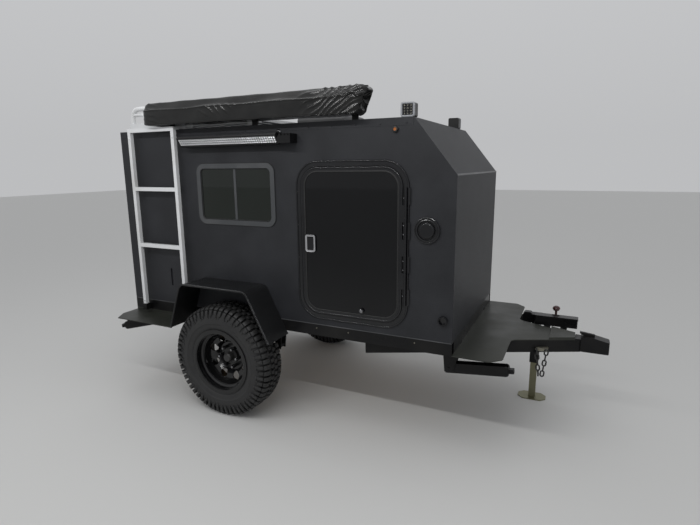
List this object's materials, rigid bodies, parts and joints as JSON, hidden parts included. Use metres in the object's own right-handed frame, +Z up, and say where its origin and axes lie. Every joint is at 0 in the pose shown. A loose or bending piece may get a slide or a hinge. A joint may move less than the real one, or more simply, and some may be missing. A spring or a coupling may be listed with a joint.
{
  "type": "squaredrop camping trailer",
  "caption": "Boxy off-road sleeping trailer with a roof rack, side ladder, rolled awning, hinged doors, rear galley hatch, A-frame tongue and drop legs.",
  "frame": {"origin": "on the ground, under the middle of the overall length, on the centreline", "axes": "+X forward to the coupler, +Y to the trailer's left, +Z up"},
  "size_m": [3.27, 1.673, 2.056],
  "materials": {
    "body_black": "coarse matt texture coat",
    "frame_black": "satin black paint",
    "deck_grey": "satin grey-green paint",
    "gloss_black": "gloss black",
    "rim_black": "gloss black enamel",
    "window_grey": "grey anodised",
    "dark_glass": "dark tinted",
    "rack_white": "satin",
    "ladder_silver": "satin",
    "bag_black": "glossy coated cloth",
    "vent_grey": "matt",
    "lamp_black": "matt black",
    "amber_lens": "clear amber",
    "red_lens": "clear red",
    "zinc": "zinc plated",
    "chain_steel": "black coated",
    "knob_brown": "gloss",
    "plywood": "clear coat",
    "tyre": "matt"
  },
  "bodies": {
    "trailer": {"frame_rails": "frame_black", "cross_members": "frame_black", "tongue": "frame_black", "coupler": "frame_black", "deck_plates": "deck_grey", "axle": "frame_black", "springs": "frame_black", "spring_hangers": "frame_black", "fenders": "body_black", "side_steps": "deck_grey", "side_wall_right": "body_black", "side_wall_left": "body_black", "floor": "plywood", "front_wall": "body_black", "chamfer_panel": "body_black", "roof": "body_black", "galley": "plywood", "window_frames": "window_grey", "window_glass": "dark_glass", "door_frames": "gloss_black", "hatch_hinge": "gloss_black", "tail_lamps": "red_lens", "roof_rack": "rack_white", "awning_bag": "bag_black", "bag_brackets": "rack_white", "roof_vent": "vent_grey", "light_bar": "lamp_black", "light_pods": "lamp_black", "markers": "amber_lens", "wall_ports": "gloss_black", "ladder": "ladder_silver", "ladder_feet": "frame_black", "jack_body": "frame_black", "jack_leg": "zinc", "crank_knob": "knob_brown", "tongue_case": "lamp_black", "safety_chains": "chain_steel", "stabiliser_brackets": "frame_black"},
    "wheel_right": {"tyre_right": "tyre", "rim_right": "rim_black", "hub_right": "rim_black"},
    "wheel_left": {"tyre_left": "tyre", "rim_left": "rim_black", "hub_left": "rim_black"},
    "door_right": {"door_leaf_right": "gloss_black", "door_glass_right": "dark_glass", "door_latch_right": "gloss_black"},
    "door_left": {"door_leaf_left": "gloss_black", "door_glass_left": "dark_glass", "door_latch_left": "gloss_black"},
    "rear_hatch": {"hatch": "body_black", "hatch_handle": "gloss_black"},
    "vent_cover": {"vent_lid": "vent_grey"},
    "stabiliser_front_right": {"leg_front_right": "frame_black"},
    "stabiliser_front_left": {"leg_front_left": "frame_black"},
    "stabiliser_rear_right": {"leg_rear_right": "frame_black"},
    "stabiliser_rear_left": {"leg_rear_left": "frame_black"}
  },
  "joints": [
    {"name": "wheel_right_spin", "type": "hinge", "parent": "trailer", "child": "wheel_right", "pos_m": [-0.643, -0.7255, 0.375], "axis": [0, 1, 0], "continuous": true},
    {"name": "wheel_left_spin", "type": "hinge", "parent": "trailer", "child": "wheel_left", "pos_m": [-0.643, 0.7255, 0.375], "axis": [0, 1, 0], "continuous": true},
    {"name": "door_right_swing", "type": "hinge", "parent": "trailer", "child": "door_right", "pos_m": [0.562, -0.625, 1.18], "axis": [0, 0, 1], "range_deg": [0, 100]},
    {"name": "door_left_swing", "type": "hinge", "parent": "trailer", "child": "door_left", "pos_m": [0.562, 0.625, 1.18], "axis": [0, 0, -1], "range_deg": [0, 100]},
    {"name": "hatch_lift", "type": "hinge", "parent": "trailer", "child": "rear_hatch", "pos_m": [-1.61, 0, 1.837], "axis": [0, 1, 0], "range_deg": [0, 90]},
    {"name": "vent_lid_lift", "type": "hinge", "parent": "trailer", "child": "vent_cover", "pos_m": [-0.007, 0, 1.902], "axis": [0, 1, 0], "range_deg": [0, 75]},
    {"name": "stabiliser_front_right_swing", "type": "hinge", "parent": "trailer", "child": "stabiliser_front_right", "pos_m": [0.8, -0.4995, 0.479], "axis": [0, 1, 0], "range_deg": [0, 70]},
    {"name": "stabiliser_front_left_swing", "type": "hinge", "parent": "trailer", "child": "stabiliser_front_left", "pos_m": [0.8, 0.4995, 0.479], "axis": [0, 1, 0], "range_deg": [0, 70]},
    {"name": "stabiliser_rear_right_swing", "type": "hinge", "parent": "trailer", "child": "stabiliser_rear_right", "pos_m": [-1.223, -0.5415, 0.543], "axis": [0.454, -0.891, 0], "range_deg": [0, 70]},
    {"name": "stabiliser_rear_left_swing", "type": "hinge", "parent": "trailer", "child": "stabiliser_rear_left", "pos_m": [-1.223, 0.5415, 0.543], "axis": [-0.454, -0.891, 0], "range_deg": [0, 70]}
  ]
}
